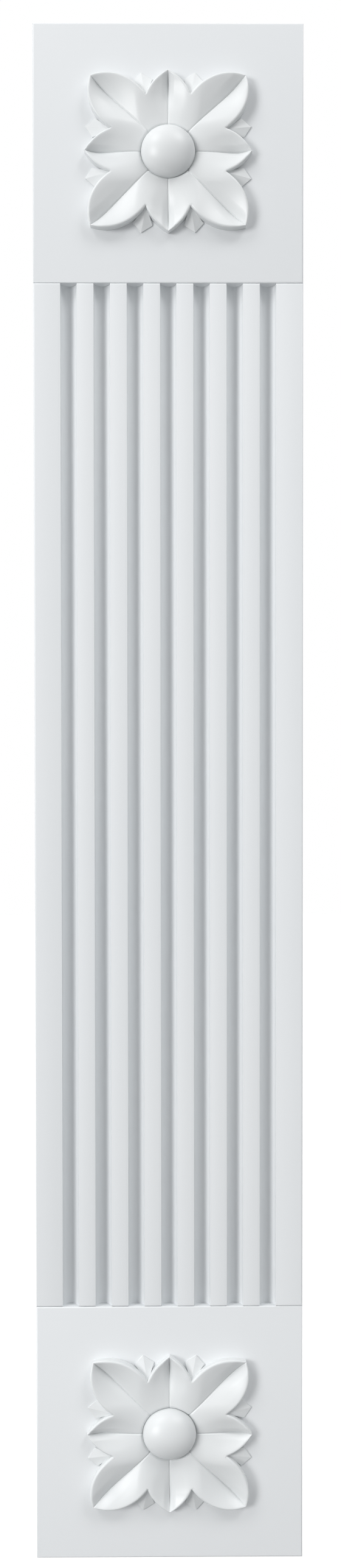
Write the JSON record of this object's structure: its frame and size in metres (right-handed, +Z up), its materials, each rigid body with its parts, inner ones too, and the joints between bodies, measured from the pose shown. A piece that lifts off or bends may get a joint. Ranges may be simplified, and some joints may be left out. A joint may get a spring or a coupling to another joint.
{
  "type": "pilaster",
  "caption": "Flat wall pilaster: fluted shaft between two near-square blocks, each with a carved leaf rosette, painted white, fixed by its back.",
  "frame": {"origin": "middle of the shaft's flat back face, where the pilaster meets the wall", "axes": "+Z up the shaft, +Y into the wall, so the front looks along -Y, +X to the right seen from the front"},
  "size_m": [0.15, 0.0366, 0.856],
  "materials": {
    "painted_board": "smooth board, sprayed with white satin paint",
    "painted_carving": "close-grained carving, sprayed with white satin paint"
  },
  "bodies": {
    "root": {"upper_block": "painted_board", "fluted_shaft": "painted_board", "lower_block": "painted_board", "upper_rosette": "painted_carving", "lower_rosette": "painted_carving"}
  },
  "joints": []
}
